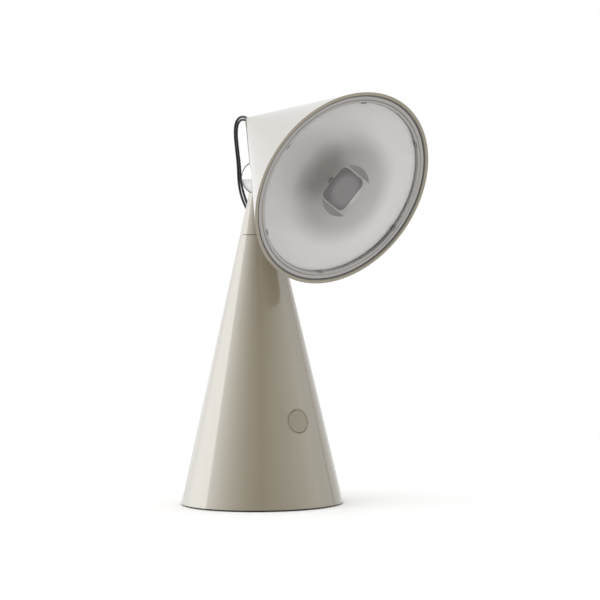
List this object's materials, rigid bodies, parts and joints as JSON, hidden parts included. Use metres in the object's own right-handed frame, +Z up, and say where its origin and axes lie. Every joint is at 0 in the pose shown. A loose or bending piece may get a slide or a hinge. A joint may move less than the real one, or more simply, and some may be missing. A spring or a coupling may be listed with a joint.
{
  "type": "tabletop searchlight lamp",
  "caption": "Portable table lamp: a weighted cone with a swivelling cap and a steel ball, on which a cone shade with a domed clear lens tilts, held by a magnet.",
  "frame": {"origin": "centre of the foot pad's flat underside, on the base cone's axis", "axes": "+Z up the base cone's axis, -Y to the front, where the button is and the light points at rest, +X to the right of someone behind the lamp who looks along the beam"},
  "size_m": [0.1426, 0.1833, 0.2888],
  "materials": {
    "stone_paint": "gloss greige powder paint",
    "stone_plastic": "moulded in the paint's colour, semi-gloss",
    "dark_rubber": "matt",
    "grey_rubber": "matt",
    "clear_silicone": "translucent, matt",
    "zinc_steel": "zinc plated",
    "bright_nickel": "nickel plated",
    "black_steel": "blackened",
    "polished_steel": "mirror polished",
    "cast_iron": "black primer",
    "black_plastic": "moulded, matt",
    "white_plastic": "moulded, matt",
    "cell_wrap": "heat-shrink wrap",
    "green_board": "solder mask",
    "white_board": "white solder mask",
    "black_cable": "silicone sheath, satin",
    "plain_aluminium": "machined",
    "dark_aluminium": "anodised, satin",
    "phosphor": "yellow phosphor",
    "satin_reflector": "satin metallised",
    "clear_lens": "clear polished",
    "satin_silver": "satin anodised"
  },
  "bodies": {
    "base": {"base_cone": "stone_paint", "foot_pad": "dark_rubber", "base_plate": "zinc_steel", "mounting_ring": "zinc_steel", "base_screws": "zinc_steel", "ballast": "cast_iron", "battery_tray": "black_plastic", "battery_cells": "cell_wrap", "battery_clamp": "black_plastic", "tie_rods": "zinc_steel", "board_spacers": "white_plastic", "main_board": "green_board", "board_screws": "zinc_steel", "control_parts": "black_plastic", "harness_plug": "white_plastic", "charge_port": "bright_nickel", "port_surround": "stone_plastic", "charge_board": "green_board", "port_bracket": "black_plastic", "button_bezel": "stone_plastic", "tact_switch": "black_plastic", "switch_board": "green_board", "return_dome": "clear_silicone", "swivel_bush": "black_plastic", "stop_pin": "zinc_steel", "base_harness": "black_cable"},
    "button": {"button_cap": "stone_plastic"},
    "cap": {"cap_cone": "stone_paint", "swivel_stem": "black_steel", "swivel_washer": "zinc_steel", "stop_washer": "zinc_steel", "swivel_nut": "zinc_steel", "steel_ball": "polished_steel", "ball_stud": "zinc_steel", "stud_nut": "zinc_steel", "lead_grommet": "dark_rubber", "lead_connector": "white_plastic", "lead_outer": "black_cable", "lead_inner": "black_cable"},
    "shade": {"shade_cone": "stone_paint", "tip_ferrule": "stone_paint", "ball_socket": "bright_nickel", "magnet": "bright_nickel", "magnet_keeper": "zinc_steel", "heat_spreader": "plain_aluminium", "reflector": "satin_reflector", "led_post": "plain_aluminium", "led_puck": "dark_aluminium", "led_board": "white_board", "led_emitters": "phosphor", "led_cable": "black_cable", "lens": "clear_lens", "lens_grips": "dark_aluminium", "bezel_ring": "satin_silver", "lens_gasket": "grey_rubber", "bezel_clips": "dark_aluminium"}
  },
  "joints": [
    {"name": "cap_swivel", "type": "hinge", "parent": "base", "child": "cap", "pos_m": [0, 0, 0.1905], "axis": [0, 0, 1], "range_deg": [-155, 155]},
    {"name": "shade_tilt", "type": "hinge", "parent": "cap", "child": "shade", "pos_m": [0, 0, 0.2306], "axis": [1, 0, 0], "range_deg": [-50, 25], "deforming": ["lead_outer", "lead_inner"]},
    {"name": "button_press", "type": "slide", "parent": "base", "child": "button", "axis": [0, 0.9744, -0.225], "range_m": [0, 0.0008], "stiffness_N_per_m": 1500, "deforming": ["return_dome"]}
  ]
}
